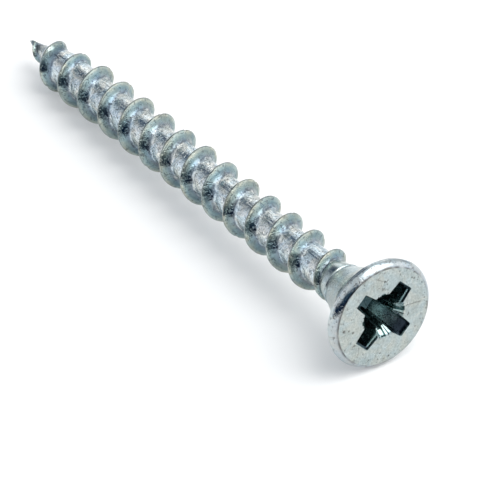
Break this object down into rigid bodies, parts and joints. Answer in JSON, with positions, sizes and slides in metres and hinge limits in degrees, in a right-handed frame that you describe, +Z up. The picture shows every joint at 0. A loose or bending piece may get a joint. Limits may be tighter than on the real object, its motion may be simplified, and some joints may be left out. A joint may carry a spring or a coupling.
{
  "type": "chipboard screw",
  "caption": "Countersunk chipboard screw with a cross recess, a coarse thread along the whole shank and a sharp point, lying on its side.",
  "frame": {"origin": "on the surface that the screw lies on, under the middle of its box", "axes": "+X from the point toward the head, level; +Z up; +Y across the screw"},
  "size_m": [0.0452, 0.0084, 0.0083],
  "materials": {
    "zinc": "bright zinc plating, semi-gloss, slightly mottled"
  },
  "bodies": {
    "root": {"screw": "zinc"}
  },
  "joints": []
}
